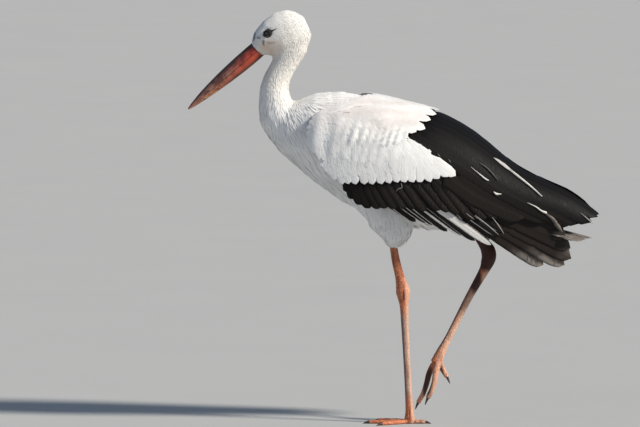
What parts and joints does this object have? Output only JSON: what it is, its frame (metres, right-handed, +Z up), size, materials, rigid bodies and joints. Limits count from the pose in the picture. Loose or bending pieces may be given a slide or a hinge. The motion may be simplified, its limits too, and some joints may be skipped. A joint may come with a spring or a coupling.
{
  "type": "white stork",
  "caption": "Life-size standing white stork with folded wings, one foot on the floor and the other lifted in mid-step.",
  "frame": {"origin": "on the floor, in the middle of the sole of the standing left foot", "axes": "+Z up; the bird faces -X, its tail points to +X and its left side is at -Y"},
  "size_m": [0.7727, 0.2112, 0.7896],
  "materials": {
    "plumage_white": "soft matt feathers",
    "plumage_black": "smooth feathers with a faint brown sheen",
    "plumage_silver": "black feathers with silver-grey outer webs",
    "plumage_dusky": "white feathers with grey-brown stains",
    "bill_horn": "worn semi-gloss horn",
    "leg_skin": "scaly bare skin",
    "shank_skin": "scaly bare skin with chalky stains",
    "claw_horn": "dull dark horn",
    "eye": "wet gloss"
  },
  "bodies": {
    "root": {"trunk": "plumage_white", "neck_lower": "plumage_white", "neck_upper": "plumage_white", "head": "plumage_white", "bill_upper": "bill_horn", "bill_lower": "bill_horn", "eye_left": "eye", "eye_right": "eye", "tail": "plumage_dusky", "wing_left_shoulder": "plumage_white", "wing_left_coverts": "plumage_black", "wing_left_tertials": "plumage_black", "wing_left_secondaries": "plumage_silver", "wing_left_primaries": "plumage_black", "leg_left_thigh": "plumage_white", "leg_left_shin": "leg_skin", "leg_left_shank": "shank_skin", "leg_left_toe_inner": "leg_skin", "leg_left_claw_inner": "claw_horn", "leg_left_toe_middle": "leg_skin", "leg_left_claw_middle": "claw_horn", "leg_left_toe_outer": "leg_skin", "leg_left_claw_outer": "claw_horn", "leg_left_toe_hind": "leg_skin", "leg_left_claw_hind": "claw_horn", "wing_right_shoulder": "plumage_white", "wing_right_coverts": "plumage_black", "wing_right_tertials": "plumage_black", "wing_right_secondaries": "plumage_silver", "wing_right_primaries": "plumage_black", "leg_right_thigh": "plumage_white", "leg_right_shin": "leg_skin", "leg_right_shank": "shank_skin", "leg_right_toe_inner": "leg_skin", "leg_right_claw_inner": "claw_horn", "leg_right_toe_middle": "leg_skin", "leg_right_claw_middle": "claw_horn", "leg_right_toe_outer": "leg_skin", "leg_right_claw_outer": "claw_horn", "leg_right_toe_hind": "leg_skin", "leg_right_claw_hind": "claw_horn"}
  },
  "joints": []
}
